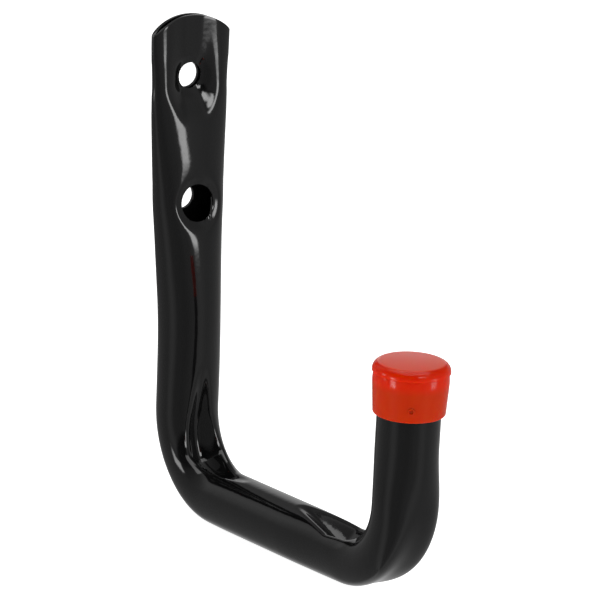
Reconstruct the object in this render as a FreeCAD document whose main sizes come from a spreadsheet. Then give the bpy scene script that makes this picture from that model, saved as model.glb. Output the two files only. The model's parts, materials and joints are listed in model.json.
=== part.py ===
import FreeCAD, Part
import math
import os
import Sketcher

from FreeCAD import Rotation, Vector

# A wall hook for a garage: one length of round steel tube, bent twice into a J, with its upper
# end pressed flat and pierced for two screws, and a push-on vinyl cap on the upturned tip.
# The wall is the plane Y = 0, the hook reaches towards -Y, and +Z is up. The origin lies on the
# wall, midway between the two screw holes.

doc = FreeCAD.newDocument("garage_utility_hook")

# Driving dimensions, in millimetres and degrees
DRIVING_SIZES = {
    # tube and centreline
    "tube_diameter": 20.0,
    "tube_wall": 1.2,
    "hole_spacing": 41.2,
    "height_above_hole": 20.1,
    "drop_to_arm": 136.3,
    "arm_reach": 123.0,
    "arm_rise_angle": 3.05,
    "tip_angle": 89.5,
    "tip_height": 62.8,
    "lower_bend_radius": 24.3,
    "tip_bend_radius": 24.6,
    # pressed upper end
    "end_arc_radius": 21.0,
    "flat_depth": 5.1,
    "flat_run": 132.5,
    "flat_ease": 0.9,
    "flat_squareness": 2.57,
    "flat_lean": 0.21,
    "pinch_gap": 1.3,
    "pinch_floor": 2.5,
    "pinch_reach": 12.5,
    "pinch_seat": 2.5,
    "pinch_run": 13.0,
    # screw holes, the dimple round the lower one and the pressed rims of both
    "screw_hole_diameter": 8.5,
    "head_hole_diameter": 12.2,
    "dimple_depth": 1.4,
    "dimple_length": 16.0,
    "dimple_reach": 10.0,
    "seat_depth": 0.9,
    "funnel_depth": 1.0,
    "funnel_width": 3.6,
    # the section that bending leaves
    "bend_oval": 2.0,
    "bend_squareness": 2.1,
    "oval_run_up": 37.6,
    "oval_run_tip": 18.8,
    "crush_depth": 7.0,
    "crush_reach": 9.0,
    "crush_run_up": 17.0,
    "crush_run_out": 12.0,
    "tip_crush_lead": 32.0,
    "tip_fold_lead": 8.0,
    "outer_flat": 2.4,
    "outer_flat_run": 13.3,
    # end cap
    "cap_wall": 1.9,
    "cap_bead": 0.25,
    "cap_height": 16.5,
    "cap_crown": 3.3,
    "cap_end": 3.0,
    "cap_grip": 10.2,
    "cap_taper": 0.6,
    "cap_corner": 2.7,
    "cap_lip": 0.6,
    "cap_clearance": 0.05,
}

sizes = doc.addObject("Spreadsheet::Sheet", "sizes")
for row, (name, value) in enumerate(DRIVING_SIZES.items(), start=1):
    sizes.set(f"A{row}", name)
    sizes.set(f"B{row}", str(value))
    sizes.setAlias(f"B{row}", name)
doc.recompute()


def size(name):
    """A driving dimension, read back from the sheet."""
    return float(sizes.get(name))


TUBE_RADIUS = size("tube_diameter") / 2
GIRTH = math.pi * size("tube_diameter")

# The centreline lies in the plane X = 0, as straight runs joined by arcs: upright, lower bend, arm,
# tip bend and tip. Each run is a length and a curvature.
ARM_RISE = math.radians(size("arm_rise_angle"))
LOWER_TURN = math.pi / 2 + ARM_RISE
TIP_TURN = math.radians(size("tip_angle")) - ARM_RISE
LOWER_TANGENT = size("lower_bend_radius") * math.tan(LOWER_TURN / 2)
TIP_TANGENT = size("tip_bend_radius") * math.tan(TIP_TURN / 2)
RUNS = (
    (size("height_above_hole") + size("drop_to_arm") - LOWER_TANGENT, 0.0),
    (size("lower_bend_radius") * LOWER_TURN, 1 / size("lower_bend_radius")),
    (size("arm_reach") - LOWER_TANGENT - TIP_TANGENT, 0.0),
    (size("tip_bend_radius") * TIP_TURN, 1 / size("tip_bend_radius")),
    (size("tip_height") - TIP_TANGENT, 0.0),
)
RUN_ENDS = [sum(length for length, _ in RUNS[:count]) for count in range(1, len(RUNS) + 1)]
LOWER_BEND = (RUN_ENDS[0], RUN_ENDS[1])
TIP_BEND = (RUN_ENDS[2], RUN_ENDS[3])
TUBE_LENGTH = RUN_ENDS[4]
UPPER_HOLE_AT = size("height_above_hole")
LOWER_HOLE_AT = UPPER_HOLE_AT + size("hole_spacing")


def centreline(distance):
    """Reach from the wall, height and heading at a distance along the tube from its upper end."""
    reach, height, heading = TUBE_RADIUS, size("hole_spacing") / 2 + UPPER_HOLE_AT, -math.pi / 2
    left = distance
    for index, (length, curvature) in enumerate(RUNS):
        step = left if index == len(RUNS) - 1 else min(left, length)
        if curvature:
            turned = heading + step * curvature
            reach += (math.sin(turned) - math.sin(heading)) / curvature
            height += (math.cos(heading) - math.cos(turned)) / curvature
            heading = turned
        else:
            reach += step * math.cos(heading)
            height += step * math.sin(heading)
        left -= step
        if left <= 0:
            break
    return reach, height, heading


def smooth_step(x):
    """Eases from 0 to 1 with no slope at either end."""
    x = min(max(x, 0.0), 1.0)
    return x * x * (3 - 2 * x)


def dent(x):
    """A smooth hollow: 1 in the middle, 0 from x = 1 on."""
    return (1 - x * x) ** 3 if abs(x) < 1 else 0.0


def signed_power(x, power):
    return math.copysign(abs(x) ** power, x)


def pressed_flat(distance):
    """Share of the press's squeeze: 1 at the upper end, 0 where the tube is round again."""
    along = min(max(distance, 0.0) / size("flat_run"), 1.0)
    return 1 - smooth_step(along ** size("flat_ease"))


def pinched(distance):
    """Share of the pinch that closes the upper end: 1 down to the upper hole's seat."""
    return 1 - smooth_step((distance - UPPER_HOLE_AT - size("pinch_seat")) / size("pinch_run"))


def pulled_oval(distance):
    """Share of the ovality that bending leaves: 1 along the arm and both bends."""
    into_bend = smooth_step((distance - LOWER_BEND[0]) / size("oval_run_up") + 1)
    out_of_bend = smooth_step((distance - TIP_BEND[1]) / size("oval_run_tip"))
    return into_bend * (1 - out_of_bend)


def pressed_outside(distance):
    """Share of the flat on the outside of the bends: 1 at the middle of each."""
    share = 0.0
    for start, end in (LOWER_BEND, TIP_BEND):
        half = (end - start) / 2 + size("outer_flat_run")
        share += max(0.0, 1 - abs(distance - (start + end) / 2) / half)
    return smooth_step(share)


# The inner wall is crushed at both bends: each crease starts, folds and ends along the tube
CREASES = (
    (LOWER_BEND[0] - size("crush_run_up"), sum(LOWER_BEND) / 2, LOWER_BEND[1] + size("crush_run_out")),
    (TIP_BEND[0] - size("tip_crush_lead"), TIP_BEND[0] - size("tip_fold_lead"),
     TIP_BEND[1] + size("crush_run_out")),
)


def creased(distance):
    """Share of the crush: 1 at each fold, 0 where its crease runs out."""
    share = 0.0
    for start, fold, end in CREASES:
        share += max(0.0, min((distance - start) / (fold - start), (end - distance) / (end - fold)))
    return share


def pressed_rim(along, across, hole):
    """Share of a hole's pressed rim: 1 within the hole, 0 where the rim runs out."""
    beside_hole = max(0.0, math.hypot(along, across) - size(hole) / 2)
    return dent(beside_hole / size("funnel_width"))


SECTION_STEPS = 192
CREASE_SHARPNESS = 1.2
CREASE_POINT = 0.3


def section_outline(distance, half_width):
    """Points (across, towards the hook's mouth) of a section, starting at the wall side's middle."""
    flat, oval, crease = pressed_flat(distance), pulled_oval(distance), creased(distance)
    depth = size("tube_diameter") - (size("tube_diameter") - size("flat_depth")) * flat
    depth -= size("bend_oval") * oval
    rear = depth * (0.5 - size("flat_lean") * 4 * flat * (1 - flat))
    squareness = 2 + (size("flat_squareness") - 2) * flat + (size("bend_squareness") - 2) * oval
    pinch = (depth - 2 * size("tube_wall") - size("pinch_gap")) * pinched(distance)
    pinch_slope = (size("pinch_reach") - size("pinch_floor")) * (1 + pinched(distance)) / 2
    dimple = size("dimple_depth") * dent((distance - LOWER_HOLE_AT) / size("dimple_length"))
    crush = size("crush_depth") * crease ** CREASE_SHARPNESS
    crush_reach = size("crush_reach") * (CREASE_POINT + (1 - CREASE_POINT) * crease)
    drawn_in = size("outer_flat") * pressed_outside(distance)
    outline = []
    for step in range(SECTION_STEPS):
        angle = -math.pi / 2 - 2 * math.pi * step / SECTION_STEPS
        across = half_width * signed_power(math.cos(angle), 2 / squareness)
        swell = signed_power(math.sin(angle), 2 / squareness)
        if swell > 0:
            inward = rear + (depth - rear) * swell
            inward -= pinch * dent(max(0.0, abs(across) - size("pinch_floor")) / pinch_slope)
            inward -= dimple * dent(across / size("dimple_reach"))
            inward -= size("seat_depth") * pressed_rim(distance - UPPER_HOLE_AT, across, "screw_hole_diameter")
            inward -= size("funnel_depth") * pressed_rim(distance - LOWER_HOLE_AT, across, "head_hole_diameter")
            inward -= crush * dent(across / crush_reach)
        else:
            inward = rear + rear * swell + drawn_in * dent(across / TUBE_RADIUS)
        outline.append((across, inward - TUBE_RADIUS))
    return outline


def outline_length(outline):
    return sum(math.dist(outline[index - 1], outline[index]) for index in range(len(outline)))


def true_section(distance):
    """The outline with the round tube's girth: pressing moves the wall and doesn't stretch it."""
    narrow, wide = 0.8 * TUBE_RADIUS, 1.7 * TUBE_RADIUS
    for _ in range(14):
        half_width = (narrow + wide) / 2
        if outline_length(section_outline(distance, half_width)) > GIRTH:
            wide = half_width
        else:
            narrow = half_width
    return section_outline(distance, half_width)


def inset_outline(outline, inset):
    """The outline moved inwards along its own normals."""
    moved = []
    for index, (across, inward) in enumerate(outline):
        before, after = outline[index - 1], outline[(index + 1) % len(outline)]
        step_across, step_inward = after[0] - before[0], after[1] - before[1]
        scale = inset / math.hypot(step_across, step_inward)
        moved.append((across + scale * step_inward, inward - scale * step_across))
    return moved


def spaced_outline(outline, count):
    """The same outline as count points, evenly spaced along it."""
    pitch = outline_length(outline) / count
    spaced, walked, index = [], 0.0, 0
    for step in range(count):
        while True:
            start, end = outline[index], outline[(index + 1) % len(outline)]
            stride = math.dist(start, end)
            if walked + stride >= step * pitch:
                break
            walked += stride
            index += 1
        share = (step * pitch - walked) / stride
        spaced.append([a + share * (b - a) for a, b in zip(start, end)])
    return spaced


def pulled_through(ring):
    """Control points whose closed cubic curve passes through the ring's points."""
    count = len(ring)
    poles = ring
    for _ in range(8):
        poles = [poles[index] + ring[index]
                 - (poles[index - 1] + poles[index] * 4 + poles[(index + 1) % count]) * (1 / 6)
                 for index in range(count)]
    return poles


# Sections stand close together where the tube is pressed or bent and far apart on its plain runs,
# with one more beyond each end for the bore
CLOSE_PITCH = size("tube_diameter") / 4
PLAIN_PITCH = size("tube_diameter")
STRETCHES = (
    (0.0, CREASES[0][2], CLOSE_PITCH),
    (CREASES[0][2], CREASES[1][0], PLAIN_PITCH),
    (CREASES[1][0], CREASES[1][2], CLOSE_PITCH),
    (CREASES[1][2], TUBE_LENGTH, PLAIN_PITCH),
)
STATIONS = [-CLOSE_PITCH]
for start, end, pitch in STRETCHES:
    count = math.ceil((end - start) / pitch)
    STATIONS += [start + (end - start) * step / count for step in range(count)]
STATIONS += [TUBE_LENGTH, TUBE_LENGTH + CLOSE_PITCH]
SECTIONS = [true_section(station) for station in STATIONS]

COLUMN_COUNT = 30
DEGREE = 3


def clear_of_holes(distance):
    """Whether a seam across the skin at this distance passes neither hole."""
    holes = ((UPPER_HOLE_AT, "screw_hole_diameter"), (LOWER_HOLE_AT, "head_hole_diameter"))
    return all(abs(distance - hole_at) > 0.75 * size(hole) for hole_at, hole in holes)


def skin_solid(first, last, inset):
    """The solid within the tube's skin over these stations, moved in by inset."""
    rows = []
    for station, section in zip(STATIONS[first:last], SECTIONS[first:last]):
        reach, height, heading = centreline(station)
        outline = inset_outline(section, inset) if inset else section
        ring = [Vector(across, inward * math.sin(heading) - reach, inward * math.cos(heading) + height)
                for across, inward in spaced_outline(outline, COLUMN_COUNT)]
        rows.append(pulled_through(ring))
    spans = len(rows) - DEGREE
    end_knot = [DEGREE + 1]
    skin = Part.BSplineSurface()
    skin.buildFromPolesMultsKnots(rows, end_knot + [1] * (spans - 1) + end_knot, [1] * (COLUMN_COUNT + 1),
                                  list(range(spans + 1)), list(range(COLUMN_COUNT + 1)),
                                  False, True, DEGREE, DEGREE)
    seams = [knot for knot in range(1, spans) if clear_of_holes(STATIONS[first + knot + 1])]
    faces = []
    for start, end in zip([0] + seams, seams + [spans]):
        band = skin.copy()
        band.segment(start, end, 0, COLUMN_COUNT)
        faces.append(band.toShape())
    for rim in (skin.uIso(0), skin.uIso(spans)):
        faces.append(Part.Face(Part.Wire(rim.toShape())))
    shell = Part.Shell(faces)
    shell.sewShape()
    return Part.Solid(shell)


outer_skin = doc.addObject("Part::Feature", "outer_skin")
outer_skin.Shape = skin_solid(1, len(STATIONS) - 1, 0.0)
bore_skin = doc.addObject("Part::Feature", "bore_skin")
bore_skin.Shape = skin_solid(0, len(STATIONS), size("tube_wall"))


def cut_away(name, base, tool):
    """The base with the tool taken out of it."""
    cut = doc.addObject("Part::Cut", name)
    cut.Base = base
    cut.Tool = tool
    return cut


# The upper end is cut to an arc: the offcut is a block with a drum taken out of it
offcut_block = doc.addObject("Part::Box", "offcut_block")
offcut_block.setExpression("Length", "2 * sizes.tube_diameter")
offcut_block.setExpression("Width", "2 * sizes.tube_diameter")
offcut_block.setExpression("Height", "sizes.end_arc_radius + sizes.tube_diameter")
offcut_block.setExpression("Placement.Base.x", "-sizes.tube_diameter")
offcut_block.setExpression("Placement.Base.y", "-1.5 * sizes.tube_diameter")
offcut_block.setExpression("Placement.Base.z",
                           "sizes.hole_spacing / 2 + sizes.height_above_hole - sizes.end_arc_radius")
end_drum = doc.addObject("Part::Cylinder", "end_drum")
end_drum.Placement.Rotation = Rotation(Vector(1, 0, 0), 90)
end_drum.setExpression("Radius", "sizes.end_arc_radius")
end_drum.setExpression("Height", "3 * sizes.tube_diameter")
end_drum.setExpression("Placement.Base.y", "sizes.tube_diameter")
end_drum.setExpression("Placement.Base.z", "offcut_block.Placement.Base.z")
end_offcut = cut_away("end_offcut", offcut_block, end_drum)


def hole_drill(name, diameter, height, start):
    """A drill along -Y at a height, from its start on."""
    drill = doc.addObject("Part::Cylinder", name)
    drill.Placement.Rotation = Rotation(Vector(1, 0, 0), 90)
    drill.setExpression("Radius", f"{diameter} / 2")
    drill.setExpression("Height", "2 * sizes.tube_diameter")
    drill.setExpression("Placement.Base.y", start)
    drill.setExpression("Placement.Base.z", height)
    return drill


# The upper hole goes through both walls. The lower one is wider in the front wall, where the
# screw's head goes in.
upper_drill = hole_drill("upper_drill", "sizes.screw_hole_diameter", "sizes.hole_spacing / 2",
                         "sizes.tube_wall")
lower_drill = hole_drill("lower_drill", "sizes.screw_hole_diameter", "-sizes.hole_spacing / 2",
                         "sizes.tube_wall")
head_drill = hole_drill("head_drill", "sizes.head_hole_diameter", "-sizes.hole_spacing / 2",
                        "-2 * sizes.tube_wall")
formed_tube = cut_away("formed_tube", outer_skin, bore_skin)
trimmed_tube = cut_away("trimmed_tube", formed_tube, end_offcut)
upper_pierced = cut_away("upper_pierced", trimmed_tube, upper_drill)
lower_pierced = cut_away("lower_pierced", upper_pierced, lower_drill)
hook_tube = cut_away("hook_tube", lower_pierced, head_drill)
hook_tube.Label = "hook_tube"

# The vinyl cap is turned about the tip's own axis, with its zero height at the tube's end
end_cap = doc.addObject("PartDesign::Body", "end_cap")
end_cap.Label = "end_cap"
cap_profile = end_cap.newObject("Sketcher::SketchObject", "cap_profile")
turning_plane = next(plane for plane in end_cap.Origin.OriginFeatures if plane.Role == "XZ_Plane")
cap_profile.AttachmentSupport = (turning_plane, [""])
cap_profile.MapMode = "FlatFace"

CAP_BORE = TUBE_RADIUS + size("cap_clearance")
CAP_BODY = CAP_BORE + size("cap_wall")
CAP_CROWN = CAP_BODY + size("cap_bead")
CAP_TOP = size("cap_height") - size("cap_grip")
CAP_CREASE = CAP_TOP - size("cap_crown")
CAP_CEILING = CAP_TOP - size("cap_end")
CAP_LIP = -size("cap_grip")
cap_corners = [
    Vector(0, CAP_CEILING),
    Vector(CAP_BORE, CAP_CEILING),
    Vector(CAP_BORE, CAP_LIP),
    Vector(CAP_BODY - size("cap_taper"), CAP_LIP),
    Vector(CAP_BODY, CAP_CREASE),
    Vector(CAP_CROWN, CAP_CREASE + size("cap_bead")),
    Vector(CAP_CROWN, CAP_TOP),
    Vector(0, CAP_TOP),
]
CEILING, BORE, LIP, BODY_SIDE, CREASE, CROWN_SIDE, TOP, AXIS = range(len(cap_corners))
for line, corner in enumerate(cap_corners):
    cap_profile.addGeometry(Part.LineSegment(corner, cap_corners[(line + 1) % len(cap_corners)]), False)
START, END = range(1, 3)
HEIGHT_AXIS, ORIGIN_POINT = range(-2, 0)
for line in range(len(cap_corners)):
    next_line = (line + 1) % len(cap_corners)
    cap_profile.addConstraint(Sketcher.Constraint("Coincident", line, END, next_line, START))
for line in (CEILING, LIP, TOP):
    cap_profile.addConstraint(Sketcher.Constraint("Horizontal", line))
for line in (BORE, CROWN_SIDE, AXIS):
    cap_profile.addConstraint(Sketcher.Constraint("Vertical", line))
cap_profile.addConstraint(Sketcher.Constraint("PointOnObject", CEILING, START, HEIGHT_AXIS))

cap_bore = "sizes.tube_diameter / 2 + sizes.cap_clearance"
cap_crease = "sizes.cap_height - sizes.cap_grip - sizes.cap_crown"
profile_sizes = (
    ("ceiling_height", "DistanceY", CEILING, "sizes.cap_height - sizes.cap_grip - sizes.cap_end"),
    ("bore_radius", "DistanceX", BORE, cap_bore),
    ("lip_height", "DistanceY", LIP, "-sizes.cap_grip"),
    ("lip_radius", "DistanceX", BODY_SIDE, f"{cap_bore} + sizes.cap_wall - sizes.cap_taper"),
    ("body_radius", "DistanceX", CREASE, f"{cap_bore} + sizes.cap_wall"),
    ("crease_height", "DistanceY", CREASE, cap_crease),
    ("crown_radius", "DistanceX", CROWN_SIDE, f"{cap_bore} + sizes.cap_wall + sizes.cap_bead"),
    ("crown_height", "DistanceY", CROWN_SIDE, f"{cap_crease} + sizes.cap_bead"),
    ("top_height", "DistanceY", TOP, "sizes.cap_height - sizes.cap_grip"),
)
for name, kind, line, expression in profile_sizes:
    value = cap_corners[line].x if kind == "DistanceX" else cap_corners[line].y
    dimension = Sketcher.Constraint(kind, ORIGIN_POINT, START, line, START, value)
    cap_profile.renameConstraint(cap_profile.addConstraint(dimension), name)
    cap_profile.setExpression(f"Constraints.{name}", expression)

cap_turned = end_cap.newObject("PartDesign::Revolution", "cap_turned")
cap_turned.Profile = cap_profile
cap_turned.ReferenceAxis = (cap_profile, ["V_Axis"])
cap_turned.Angle = 360
doc.recompute()


def rim_edge(feature, radius, height):
    """Name of the feature's round edge of this radius at this height."""
    for number, edge in enumerate(feature.Shape.Edges, start=1):
        if isinstance(edge.Curve, Part.Circle):
            misfit = abs(edge.Curve.Radius - radius) + abs(edge.Curve.Center.z - height)
            if misfit < 1e-6:
                return f"Edge{number}"
    raise ValueError(f"{feature.Label} has no rim of radius {radius} at height {height}")


crown_round = end_cap.newObject("PartDesign::Fillet", "crown_round")
crown_round.Base = (cap_turned, [rim_edge(cap_turned, CAP_CROWN, CAP_TOP)])
crown_round.setExpression("Radius", "sizes.cap_corner")
doc.recompute()
lip_round = end_cap.newObject("PartDesign::Fillet", "lip_round")
lip_round.Base = (crown_round, [rim_edge(crown_round, CAP_BODY - size("cap_taper"), CAP_LIP)])
lip_round.setExpression("Radius", "sizes.cap_lip")

arm_angle = "sizes.arm_rise_angle * 1 deg"
tip_angle = "sizes.tip_angle * 1 deg"
end_cap.Placement.Rotation = Rotation(Vector(1, 0, 0), 90 - size("tip_angle"))
end_cap.setExpression("Placement.Rotation.Angle", f"90 deg - {tip_angle}")
end_cap.setExpression("Placement.Base.y", f"-sizes.tube_diameter / 2 - sizes.arm_reach * cos({arm_angle})"
                      f" - sizes.tip_height * cos({tip_angle})")
end_cap.setExpression("Placement.Base.z", "sizes.hole_spacing / 2 - sizes.drop_to_arm"
                      f" + sizes.arm_reach * sin({arm_angle}) + sizes.tip_height * sin({tip_angle})")
doc.recompute()

for item in doc.Objects:
    if "Invalid" in item.State or "Error" in item.State:
        raise RuntimeError(f"{item.Label} did not compute: {item.State}")
nodes = (hook_tube, end_cap)
for node in nodes:
    if node.Shape.isNull() or not node.Shape.isValid():
        raise RuntimeError(f"{node.Label} has no valid solid")

os.makedirs("parts", exist_ok=True)
for node in nodes:
    node.Shape.exportStep(f"parts/{node.Label}.step")
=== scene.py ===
import json
import math

import bpy
import numpy as np
from mathutils import Matrix, Vector

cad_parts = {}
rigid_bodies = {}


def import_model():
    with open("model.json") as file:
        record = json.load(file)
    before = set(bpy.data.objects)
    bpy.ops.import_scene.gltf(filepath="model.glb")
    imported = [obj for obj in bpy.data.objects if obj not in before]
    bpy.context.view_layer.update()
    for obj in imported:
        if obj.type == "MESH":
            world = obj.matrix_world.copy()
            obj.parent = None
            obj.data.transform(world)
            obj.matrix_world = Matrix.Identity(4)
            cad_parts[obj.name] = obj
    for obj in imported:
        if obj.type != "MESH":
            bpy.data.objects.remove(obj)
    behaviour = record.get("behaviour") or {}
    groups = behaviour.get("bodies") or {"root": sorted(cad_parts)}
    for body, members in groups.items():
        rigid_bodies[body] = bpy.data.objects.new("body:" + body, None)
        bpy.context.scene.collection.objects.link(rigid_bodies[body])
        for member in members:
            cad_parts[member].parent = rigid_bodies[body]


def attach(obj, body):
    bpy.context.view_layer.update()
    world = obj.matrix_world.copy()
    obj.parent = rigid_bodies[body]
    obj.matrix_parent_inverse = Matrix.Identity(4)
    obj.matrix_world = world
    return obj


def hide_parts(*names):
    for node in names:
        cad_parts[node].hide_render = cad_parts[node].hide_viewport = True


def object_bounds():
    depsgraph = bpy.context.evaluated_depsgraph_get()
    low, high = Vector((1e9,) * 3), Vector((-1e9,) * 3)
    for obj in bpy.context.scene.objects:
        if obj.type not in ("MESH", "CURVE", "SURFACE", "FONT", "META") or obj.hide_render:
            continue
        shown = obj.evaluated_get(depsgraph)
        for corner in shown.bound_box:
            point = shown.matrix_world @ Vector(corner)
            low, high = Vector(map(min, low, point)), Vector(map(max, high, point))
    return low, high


bpy.ops.object.select_all(action="SELECT")
bpy.ops.object.delete()
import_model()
cad_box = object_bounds()
bpy.ops.object.select_all(action="DESELECT")

# The hook is one length of round steel tube, painted black. Its upper end is pressed flat against the wall
# side and pierced for two screws, two bends make it a J, and bending crushes the inner wall of each bend.
# It is modelled as a flat sheet, rolled into the tube and given the tube's wall afterwards.
tube_diameter = 0.0200
tube_wall = 0.0012
tube_radius = tube_diameter / 2
hole_spacing = 0.0412
height_above_hole = 0.0201
drop_to_arm = 0.1363
arm_reach = 0.1230
arm_rise = math.radians(3.05)
tip_angle = math.radians(89.5)
tip_height = 0.0628
lower_bend_radius = 0.0243
tip_bend_radius = 0.0246
lower_tangent = lower_bend_radius * math.tan((math.pi / 2 + arm_rise) / 2)
tip_tangent = tip_bend_radius * math.tan((tip_angle - arm_rise) / 2)
centreline_runs = (
    (height_above_hole + drop_to_arm - lower_tangent, 0.0),
    (lower_bend_radius * (math.pi / 2 + arm_rise), 1 / lower_bend_radius),
    (arm_reach - lower_tangent - tip_tangent, 0.0),
    (tip_bend_radius * (tip_angle - arm_rise), 1 / tip_bend_radius),
    (tip_height - tip_tangent, 0.0),
)
run_ends = np.cumsum([length for length, _ in centreline_runs])
tube_length = run_ends[-1]
bends = ((run_ends[0], run_ends[1]), (run_ends[2], run_ends[3]))


def follow_centreline(distance):
    """Reach from the wall, height and heading at each distance from the tube's upper end."""
    reach = np.full_like(distance, tube_radius)
    height = np.full_like(distance, hole_spacing / 2 + height_above_hole)
    heading = np.full_like(distance, -math.pi / 2)
    left = distance.copy()
    for length, curvature in centreline_runs:
        step = np.clip(left, 0, length)
        if curvature:
            turned = heading + step * curvature
            reach += (np.sin(turned) - np.sin(heading)) / curvature
            height += (np.cos(heading) - np.cos(turned)) / curvature
            heading = turned
        else:
            reach += step * np.cos(heading)
            height += step * np.sin(heading)
        left -= step
    return reach, height, heading


def smooth_step(x):
    """Rises smoothly from 0 at x = 0 to 1 at x = 1."""
    x = np.clip(x, 0, 1)
    return x * x * (3 - 2 * x)


def dent(x):
    """A smooth hollow: 1 in the middle, 0 from x = 1 on."""
    return np.clip(1 - x * x, 0, 1) ** 3


def signed_power(x, power):
    """A power of a number's size, with the number's sign."""
    return np.sign(x) * np.abs(x) ** power


# Shares along the tube of the press's squeeze, of its pinch, and of what the bending leaves
flat_depth, flat_run, flat_ease = 0.0051, 0.1325, 0.9
flat_squareness, flat_lean = 2.57, 0.21
pinch_gap, pinch_floor, pinch_reach = 0.0013, 0.0025, 0.0125
pinch_seat, pinch_run = 0.0025, 0.0130
bend_oval, bend_squareness = 0.0020, 2.1
oval_run_up, oval_run_tip = 0.0376, 0.0188
crush_depth, crush_reach, crease_sharpness, crease_point = 0.0070, 0.0090, 1.2, 0.3
crush_run_up, crush_run_out, tip_crush_lead, tip_fold_lead = 0.0170, 0.0120, 0.0320, 0.0080
outer_flat, outer_flat_run = 0.0024, 0.0133
dimple_depth, dimple_length, dimple_reach = 0.0014, 0.0160, 0.0100
head_hole_radius, screw_hole_radius = 0.0061, 0.00425
seat_depth, funnel_depth, funnel_width = 0.0009, 0.0010, 0.0036

sheet_rows, sheet_columns, outline_steps = 330, 128, 384
station = np.linspace(0, tube_length, sheet_rows + 1)
along = station[:, None]
flat = 1 - smooth_step(np.clip(along / flat_run, 0, 1) ** flat_ease)
pinch = 1 - smooth_step((along - height_above_hole - pinch_seat) / pinch_run)
oval = (smooth_step((along - bends[0][0]) / oval_run_up + 1)
        * (1 - smooth_step((along - bends[1][1]) / oval_run_tip)))
pressed_outside = sum(
    np.clip(1 - np.abs(along - (start + end) / 2) / ((end - start) / 2 + outer_flat_run), 0, 1)
    for start, end in bends)
creases = (
    (bends[0][0] - crush_run_up, sum(bends[0]) / 2, bends[0][1] + crush_run_out),
    (bends[1][0] - tip_crush_lead, bends[1][0] - tip_fold_lead, bends[1][1] + crush_run_out),
)
crease = sum(np.clip(np.minimum((along - start) / (fold - start), (end - along) / (end - fold)), 0, 1)
             for start, fold, end in creases)
local_reach = crush_reach * (crease_point + (1 - crease_point) * crease)
depth = tube_diameter - (tube_diameter - flat_depth) * flat - bend_oval * oval
rear = depth * (0.5 - flat_lean * 4 * flat * (1 - flat))
squareness = 2 + (flat_squareness - 2) * flat + (bend_squareness - 2) * oval
pinch_slope = (pinch_reach - pinch_floor) * (1 + pinch) / 2
from_upper_hole = along - height_above_hole
from_lower_hole = from_upper_hole - hole_spacing


def pressed_rim(from_hole, across, hole_radius):
    """Share of a hole's pressed rim: 1 within the hole, 0 where the rim runs out."""
    return dent(np.maximum(0, np.hypot(from_hole, across) - hole_radius) / funnel_width)


# The section at each station keeps the round tube's girth, so its width is found by halving
narrowest, widest, halvings = 0.8 * tube_radius, 1.7 * tube_radius, 24
angle = -math.pi / 2 - np.linspace(0, 2 * math.pi, outline_steps + 1)[None, :]
side = signed_power(np.cos(angle), 2 / squareness)
swell = signed_power(np.sin(angle), 2 / squareness)
narrow = np.full_like(along, narrowest)
wide = np.full_like(along, widest)
for _ in range(halvings):
    half_width = (narrow + wide) / 2
    across = half_width * side
    floor_share = dent(np.maximum(0, np.abs(across) - pinch_floor) / pinch_slope)
    hollow = (depth - 2 * tube_wall - pinch_gap) * pinch * floor_share
    hollow += seat_depth * pressed_rim(from_upper_hole, across, screw_hole_radius)
    hollow += dimple_depth * dent(from_lower_hole / dimple_length) * dent(across / dimple_reach)
    hollow += funnel_depth * pressed_rim(from_lower_hole, across, head_hole_radius)
    hollow += crush_depth * crease ** crease_sharpness * dent(across / local_reach)
    drawn_in = outer_flat * smooth_step(pressed_outside) * dent(across / tube_radius)
    front_wall = rear + (depth - rear) * swell - hollow
    rear_wall = rear + rear * swell + drawn_in
    inward = np.where(swell > 0, front_wall, rear_wall) - tube_radius
    steps = np.hypot(np.diff(across), np.diff(inward))
    too_long = steps.sum(axis=1, keepdims=True) > math.pi * tube_diameter
    wide = np.where(too_long, half_width, wide)
    narrow = np.where(too_long, narrow, half_width)

# Columns are spread evenly round each section
walked = np.concatenate([np.zeros_like(along), np.cumsum(steps, axis=1)], axis=1)
share = np.linspace(0, 1, sheet_columns + 1)
column_across = np.array([np.interp(share * walk[-1], walk, line) for walk, line in zip(walked, across)])
column_inward = np.array([np.interp(share * walk[-1], walk, line) for walk, line in zip(walked, inward)])

# The upper end is cut to an arc
end_arc_radius, arc_fade = 0.0210, 0.0150
arc_drop = end_arc_radius - np.sqrt(np.clip(end_arc_radius ** 2 - column_across ** 2, 0, None))
arc_drop *= np.clip(1 - along / arc_fade, 0, 1)
reach, height, heading = (value[:, None] for value in follow_centreline(station))
tube_points = np.stack([column_across,
                        column_inward * np.sin(heading) - reach,
                        column_inward * np.cos(heading) + height - arc_drop], axis=-1)

# The sheet's grid is rolled onto these points, and its two long edges are welded
weld_distance = 0.00001
bpy.ops.mesh.primitive_grid_add(x_subdivisions=sheet_columns, y_subdivisions=sheet_rows, size=1)
tube = bpy.context.object
tube.name = "bent_tube"
sheet = np.array([vertex.co for vertex in tube.data.vertices])
sheet_column = np.rint((sheet[:, 0] + 0.5) * sheet_columns).astype(int)
sheet_row = np.rint((0.5 - sheet[:, 1]) * sheet_rows).astype(int)
tube.data.vertices.foreach_set("co", tube_points[sheet_row, sheet_column].ravel())
tube.data.update()
bpy.ops.object.mode_set(mode="EDIT")
bpy.ops.mesh.select_all(action="SELECT")
bpy.ops.mesh.remove_doubles(threshold=weld_distance)
bpy.ops.mesh.normals_make_consistent(inside=False)
bpy.ops.object.mode_set(mode="OBJECT")

# Vertices on the ragged edge of a hole lie within this many times its radius
rim_search = 1.5


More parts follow.
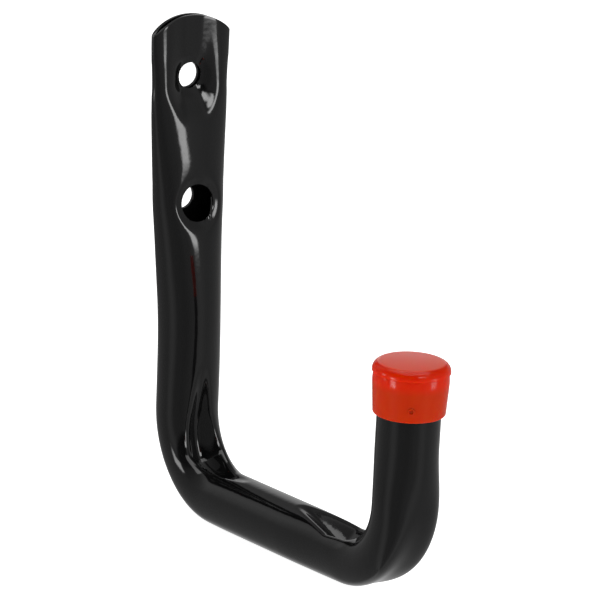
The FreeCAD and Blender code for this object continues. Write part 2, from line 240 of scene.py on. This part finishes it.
def pierce(hole_height, radius, nearest, furthest):
    """Opens a round hole along Y in the faces between two distances from the wall."""
    bpy.ops.object.mode_set(mode="EDIT")
    bpy.ops.mesh.select_mode(type="FACE")
    bpy.ops.mesh.select_all(action="DESELECT")
    bpy.ops.object.mode_set(mode="OBJECT")
    for face in tube.data.polygons:
        centre = face.center
        face.select = (nearest < -centre.y < furthest
                       and math.hypot(centre.x, centre.z - hole_height) < radius)
    bpy.ops.object.mode_set(mode="EDIT")
    bpy.ops.mesh.delete(type="FACE")
    bpy.ops.mesh.select_mode(type="VERT")
    bpy.ops.mesh.select_non_manifold(extend=False, use_wire=False, use_boundary=True,
                                     use_multi_face=False, use_non_contiguous=False, use_verts=False)
    bpy.ops.object.mode_set(mode="OBJECT")
    for vertex in tube.data.vertices:
        offset = Vector((vertex.co.x, 0, vertex.co.z - hole_height))
        if vertex.select and nearest < -vertex.co.y < furthest and offset.length < rim_search * radius:
            offset *= radius / offset.length
            vertex.co.x = offset.x
            vertex.co.z = hole_height + offset.z


# The lower hole is wider in the front wall, so that the screw's head passes to the rear wall
behind_wall = -0.001
pierce(hole_spacing / 2, screw_hole_radius, behind_wall, tube_diameter)
pierce(-hole_spacing / 2, screw_hole_radius, behind_wall, 2 * tube_wall)
pierce(-hole_spacing / 2, head_hole_radius, 2 * tube_wall, tube_diameter)

wall = tube.modifiers.new("wall", "SOLIDIFY")
wall.thickness = tube_wall
wall.offset = -1
bpy.ops.object.modifier_apply(modifier=wall.name)
rims = tube.modifiers.new("rims", "BEVEL")
rims.width = 0.0004
rims.segments = 3
rims.limit_method = "ANGLE"
rims.angle_limit = math.radians(55)
bpy.ops.object.modifier_apply(modifier=rims.name)
bpy.ops.object.shade_smooth_by_angle(angle=math.radians(50))

black_paint = bpy.data.materials.new("black_paint")
black_paint.use_nodes = True
nodes, links = black_paint.node_tree.nodes, black_paint.node_tree.links
paint = nodes["Principled BSDF"]
paint.inputs["Base Color"].default_value = (0.003, 0.003, 0.0031, 1)
paint.inputs["Roughness"].default_value = 0.08
paint.inputs["IOR"].default_value = 1.5
position = nodes.new("ShaderNodeTexCoord")
peel = nodes.new("ShaderNodeTexNoise")
peel.inputs["Scale"].default_value = 260
peel.inputs["Detail"].default_value = 2
links.new(position.outputs["Object"], peel.inputs["Vector"])
peel_bump = nodes.new("ShaderNodeBump")
peel_bump.inputs["Strength"].default_value = 0.04
peel_bump.inputs["Distance"].default_value = 0.001
links.new(peel.outputs["Fac"], peel_bump.inputs["Height"])
links.new(peel_bump.outputs["Normal"], paint.inputs["Normal"])
tube.data.materials.clear()
tube.data.materials.append(black_paint)
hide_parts("hook_tube")
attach(tube, "root")

# The cap on the tip is moulded from translucent red vinyl and pushed on. A slight bead runs round it
# under the crown, its side tapers to a rounded lip, and a small ring is left on its side by the mould.
# It is drawn out from its ceiling, down the bore, round the lip and up the side to the crown.
cap_clearance, cap_wall, cap_bead, cap_taper = 0.00005, 0.0019, 0.00025, 0.0006
cap_height, cap_grip, cap_end, cap_crown = 0.0165, 0.0102, 0.0030, 0.0033
cap_bore = tube_radius + cap_clearance
cap_body = cap_bore + cap_wall
cap_crown_radius = cap_body + cap_bead
cap_lip_radius = cap_body - cap_taper
cap_top = cap_height - cap_grip
cap_ceiling = cap_top - cap_end
cap_crease = cap_top - cap_crown
lip_round, crown_round, round_steps = 0.0006, 0.0027, 8
barrel_depth, barrel_run = 0.00026, 0.0030
barrel_shares = (0, 0.25, 0.5, 0.75, 1)
cap_sides = 128


def quarter(radius, height, size, start):
    """Points of a quarter round, from its start angle in degrees on, about a centre."""
    angles = [math.radians(start + 90 * step / round_steps) for step in range(round_steps + 1)]
    return [(radius + size * math.cos(turn), height + size * math.sin(turn)) for turn in angles]


cap_profile = [(cap_bore, cap_ceiling), (cap_bore, -cap_grip)]
cap_profile += quarter(cap_lip_radius - lip_round, lip_round - cap_grip, lip_round, -90)
cap_profile += [(cap_body - barrel_depth * rise ** 2, cap_crease - barrel_run * (1 - rise))
                for rise in barrel_shares]
cap_profile += [(cap_crown_radius, cap_crease + cap_bead)]
cap_profile += quarter(cap_crown_radius - crown_round, cap_top - crown_round, crown_round, 0)
bpy.ops.object.select_all(action="DESELECT")
bpy.ops.mesh.primitive_circle_add(vertices=cap_sides, radius=cap_bore, location=(0, 0, cap_ceiling),
                                  fill_type="NGON")
cap = bpy.context.object
cap.name = "vinyl_cap"
bpy.ops.object.mode_set(mode="EDIT")
bpy.ops.mesh.select_mode(type="EDGE")
bpy.ops.mesh.select_all(action="SELECT")
for (radius, level), (next_radius, next_level) in zip(cap_profile, cap_profile[1:]):
    bpy.ops.mesh.extrude_edges_move(TRANSFORM_OT_translate={"value": (0, 0, next_level - level)})
    bpy.ops.transform.resize(value=(next_radius / radius, next_radius / radius, 1))
bpy.ops.mesh.edge_face_add()
bpy.ops.mesh.select_all(action="SELECT")
bpy.ops.mesh.normals_make_consistent(inside=False)
bpy.ops.object.mode_set(mode="OBJECT")
bpy.ops.object.transform_apply(location=True, rotation=True, scale=True)

mark_turn, mark_height, mark_lift = math.radians(33), -0.00625, 0.0001
mark_ring, mark_thickness = 0.00085, 0.00028
mark_radius = mark_lift + np.interp(mark_height, (lip_round - cap_grip, cap_crease - barrel_run),
                                    (cap_lip_radius, cap_body))
bpy.ops.mesh.primitive_torus_add(
    major_radius=mark_ring, minor_radius=mark_thickness, major_segments=32, minor_segments=12,
    location=(-math.sin(mark_turn) * mark_radius, -math.cos(mark_turn) * mark_radius, mark_height),
    rotation=(math.pi / 2, 0, -mark_turn))
cap.select_set(True)
bpy.context.view_layer.objects.active = cap
bpy.ops.object.join()
tip_end_reach, tip_end_height, _ = (value[0] for value in follow_centreline(np.array([tube_length])))
cap.matrix_world = (Matrix.Translation((0, -tip_end_reach, tip_end_height))
                    @ Matrix.Rotation(math.pi / 2 - tip_angle, 4, "X") @ cap.matrix_world)
bpy.ops.object.transform_apply(location=True, rotation=True, scale=True)
bpy.ops.object.shade_smooth_by_angle(angle=math.radians(40))

red_vinyl = bpy.data.materials.new("red_vinyl")
red_vinyl.use_nodes = True
nodes, links = red_vinyl.node_tree.nodes, red_vinyl.node_tree.links
vinyl = nodes["Principled BSDF"]
vinyl.inputs["Roughness"].default_value = 0.15
vinyl.inputs["IOR"].default_value = 1.46
vinyl.inputs["Specular IOR Level"].default_value = 0.15
vinyl.inputs["Transmission Weight"].default_value = 0.2
vinyl.inputs["Subsurface Weight"].default_value = 0.6
vinyl.inputs["Subsurface Radius"].default_value = (1, 0.1, 0.02)
vinyl.inputs["Subsurface Scale"].default_value = 0.002
vinyl.inputs["Sheen Roughness"].default_value = 0.3
position = nodes.new("ShaderNodeTexCoord")
place = nodes.new("ShaderNodeSeparateXYZ")
links.new(position.outputs["Object"], place.inputs["Vector"])


def rising(lowest, highest, share):
    """Rises from 0 to a share between two heights of the cap."""
    rise = nodes.new("ShaderNodeMapRange")
    rise.inputs["From Min"].default_value = lowest
    rise.inputs["From Max"].default_value = highest
    rise.inputs["To Max"].default_value = share
    links.new(place.outputs["Z"], rise.inputs["Value"])
    return rise.outputs["Result"]


# Painted shade: the vinyl's base colour is darker as far as the tube's end, standing in for the tube
# showing through it. The flat of the crown gets a painted pale reflection and a sheen
tube_shade_heights = (tip_end_height - 0.0015, tip_end_height + 0.001)
crown_flat = tip_end_height + cap_top
pale_crown_heights = (crown_flat - 0.0003, crown_flat - 0.0001)
crown_sheen = 0.9
painted_tube_shade = nodes.new("ShaderNodeMix")
painted_tube_shade.data_type = "RGBA"
# Painted shade: colour A, the darker one, lies below the tube's end, and colour B lies above it
painted_tube_shade.inputs["A"].default_value = (0.54, 0.028, 0, 1)
painted_tube_shade.inputs["B"].default_value = (0.68, 0.02, 0, 1)
links.new(rising(*tube_shade_heights, 1), painted_tube_shade.inputs["Factor"])
# Painted reflection: the crown's flat gets a paler base colour, standing in for the pale light it
# reflects, and its sheen weight rises there too
painted_crown_reflection = nodes.new("ShaderNodeMix")
painted_crown_reflection.data_type = "RGBA"
painted_crown_reflection.inputs["B"].default_value = (0.9, 0.09, 0.045, 1)
links.new(painted_tube_shade.outputs["Result"], painted_crown_reflection.inputs["A"])
links.new(rising(*pale_crown_heights, 1), painted_crown_reflection.inputs["Factor"])
links.new(painted_crown_reflection.outputs["Result"], vinyl.inputs["Base Color"])
links.new(rising(*pale_crown_heights, crown_sheen), vinyl.inputs["Sheen Weight"])
cap.data.materials.clear()
cap.data.materials.append(red_vinyl)
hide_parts("end_cap")
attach(cap, "root")

# The floor of the studio is plain white and glows a little, so that it is also a white background.
# The paint doesn't mirror it: what the paint mirrors is the studio's surround and its lamps.
floor_size, floor_gap = 6, 0.0005
bpy.ops.object.select_all(action="DESELECT")
bpy.ops.mesh.primitive_plane_add(size=floor_size, location=(0, 0, cad_box[0][2] - floor_gap))
floor = bpy.context.object
floor.name = "studio_floor"
floor_white = bpy.data.materials.new("floor_white")
floor_white.use_nodes = True
floor_paper = floor_white.node_tree.nodes["Principled BSDF"]
floor_paper.inputs["Base Color"].default_value = (0.85, 0.85, 0.85, 1)
floor_paper.inputs["Roughness"].default_value = 0.9
floor_paper.inputs["Emission Color"].default_value = (1, 1, 1, 1)
floor_paper.inputs["Emission Strength"].default_value = 0.95
floor.data.materials.append(floor_white)
floor.visible_glossy = False

# Round the hook the studio is dim in front, where the camera stands, and lighter to its sides.
# It is lighter below and round the horizon than above it, so the paint mirrors soft light and dark.
camera_turn = math.radians(34.675)
world = bpy.data.worlds.new("studio_surround")
bpy.context.scene.world = world
world.use_nodes = True
nodes, links = world.node_tree.nodes, world.node_tree.links
direction = nodes.new("ShaderNodeTexCoord")
facing_camera = nodes.new("ShaderNodeMapping")
facing_camera.inputs["Rotation"].default_value[2] = math.pi / 2 + camera_turn
links.new(direction.outputs["Generated"], facing_camera.inputs["Vector"])
compass = nodes.new("ShaderNodeTexGradient")
compass.gradient_type = "RADIAL"
links.new(facing_camera.outputs["Vector"], compass.inputs["Vector"])


def light_round(levels):
    """A grey level at each bearing from the camera, in degrees towards -X, eased in between."""
    ramp = nodes.new("ShaderNodeValToRGB")
    ramp.color_ramp.interpolation = "EASE"
    stops = ramp.color_ramp.elements
    stops.remove(stops[1])
    for turn, grey in levels:
        stop = stops[0] if turn == 180 else stops.new(0.5 - turn / 360)
        stop.color = (grey, grey, grey, 1)
    links.new(compass.outputs["Fac"], ramp.inputs["Fac"])
    return ramp


low_light = light_round((
    (180, 0.6), (140, 0.26), (105, 0.28), (75, 0.28), (52, 0.48), (27, 0.22), (0, 0.2),
    (-30, 0.28), (-52, 0.46), (-75, 0.33), (-100, 0.34), (-140, 0.36), (-180, 0.6)))
high_light = light_round((
    (180, 0.14), (150, 0.3), (130, 0.5), (105, 0.3), (80, 0.2), (60, 0.04), (0, 0.01),
    (-25, 0.05), (-60, 0.4), (-90, 0.28), (-120, 0.1), (-180, 0.14)))
upward = nodes.new("ShaderNodeSeparateXYZ")
links.new(direction.outputs["Generated"], upward.inputs["Vector"])
above = nodes.new("ShaderNodeMapRange")
above.inputs["From Min"].default_value = 0.22
above.inputs["From Max"].default_value = 0.36
links.new(upward.outputs["Z"], above.inputs["Value"])
surround = nodes.new("ShaderNodeMix")
surround.data_type = "RGBA"
links.new(above.outputs["Result"], surround.inputs["Factor"])
links.new(low_light.outputs["Color"], surround.inputs["A"])
links.new(high_light.outputs["Color"], surround.inputs["B"])
links.new(surround.outputs["Result"], nodes["Background"].inputs["Color"])
bpy.context.scene.view_settings.view_transform = "Standard"

# The camera stands where the photograph was taken from
camera_rise = math.radians(16.347)
camera_roll = math.radians(2.68)
camera_distance = 1.3116
camera_aim = Vector((0, -0.0719, -0.0372))
focal_pixels, image_pixels, sensor_width = 4146, 600, 36
back = Vector((-math.sin(camera_turn) * math.cos(camera_rise),
               -math.cos(camera_turn) * math.cos(camera_rise), math.sin(camera_rise)))
level_right = Vector((math.cos(camera_turn), -math.sin(camera_turn), 0))
level_up = back.cross(level_right)
right = level_right * math.cos(camera_roll) + level_up * math.sin(camera_roll)
up = level_up * math.cos(camera_roll) - level_right * math.sin(camera_roll)
camera_data = bpy.data.cameras.new("photo_camera")
camera_data.sensor_width = sensor_width
camera_data.lens = focal_pixels * sensor_width / image_pixels
camera = bpy.data.objects.new("photo_camera", camera_data)
bpy.context.collection.objects.link(camera)
camera.location = camera_aim + back * camera_distance
camera.rotation_euler = Matrix((right, up, back)).transposed().to_euler()
bpy.context.scene.camera = camera

# The lamps are soft boxes, which draw streaks on the black paint and glints on the vinyl.
# Each is bright in its middle and fades out over a quarter of its size at each edge.
soft_edges = bpy.data.node_groups.new("soft_edges", "ShaderNodeTree")
soft_edges.interface.new_socket("Light", in_out="OUTPUT", socket_type="NodeSocketFloat")
nodes, links = soft_edges.nodes, soft_edges.links
on_lamp = nodes.new("ShaderNodeNewGeometry")
lamp_sides = nodes.new("ShaderNodeSeparateXYZ")
links.new(on_lamp.outputs["Parametric"], lamp_sides.inputs["Vector"])
light = nodes.new("ShaderNodeMath")
light.operation = "MULTIPLY"
for axis, factor in zip(("X", "Y"), light.inputs):
    from_edge = nodes.new("ShaderNodeMath")
    from_edge.operation = "PINGPONG"
    from_edge.inputs[1].default_value = 0.5
    links.new(lamp_sides.outputs[axis], from_edge.inputs[0])
    fade = nodes.new("ShaderNodeMapRange")
    fade.interpolation_type = "SMOOTHSTEP"
    fade.inputs["From Max"].default_value = 0.25
    links.new(from_edge.outputs["Value"], fade.inputs["Value"])
    links.new(fade.outputs["Result"], factor)
links.new(light.outputs["Value"], nodes.new("NodeGroupOutput").inputs["Light"])


def soft_box(name, bearing, distance, low, high, width, radiance):
    """An upright lamp between two heights, at a bearing from the camera towards -X, facing the hook."""
    lamp = bpy.data.lights.new(name, "AREA")
    lamp.shape = "RECTANGLE"
    lamp.size, lamp.size_y = width, high - low
    lamp.energy = radiance * math.pi * width * (high - low)
    lamp.use_nodes = True
    edges = lamp.node_tree.nodes.new("ShaderNodeGroup")
    edges.node_tree = soft_edges
    lamp.node_tree.links.new(edges.outputs["Light"], lamp.node_tree.nodes["Emission"].inputs["Strength"])
    box = bpy.data.objects.new(name, lamp)
    bpy.context.collection.objects.link(box)
    turn = camera_turn + math.radians(bearing)
    box.location = (-distance * math.sin(turn), camera_aim.y - distance * math.cos(turn), (low + high) / 2)
    box.rotation_euler = (math.pi / 2, 0, -turn)
    box.visible_camera = False
    return box


def light_only(lamp, piece):
    """Keeps a lamp's light on one piece."""
    receivers = bpy.data.collections.new(lamp.name + "_receivers")
    receivers.objects.link(piece)
    lamp.light_linking.receiver_collection = receivers


soft_box("high_box", bearing=-34, distance=0.55, low=0.22, high=0.42, width=0.26, radiance=8)
soft_box("left_box", bearing=80, distance=0.55, low=-0.12, high=0.12, width=0.14, radiance=5)
right_box = soft_box("right_box", bearing=-54, distance=0.3, low=-0.055, high=0.2, width=0.1, radiance=7)
near_left_box = soft_box("near_left_box", bearing=42, distance=0.3, low=-0.115, high=-0.045, width=0.1,
                         radiance=11)
near_right_box = soft_box("near_right_box", bearing=-62, distance=0.3, low=-0.115, high=-0.045, width=0.1,
                          radiance=5)
light_only(right_box, tube)
light_only(near_left_box, cap)
light_only(near_right_box, cap)
overhead_lamp = bpy.data.lights.new("overhead", "AREA")
overhead_lamp.size = 1.4
overhead_lamp.energy = 12
overhead_height = 1.2
overhead = bpy.data.objects.new("overhead", overhead_lamp)
bpy.context.collection.objects.link(overhead)
overhead.location = (0, camera_aim.y, overhead_height)
overhead.visible_camera = False
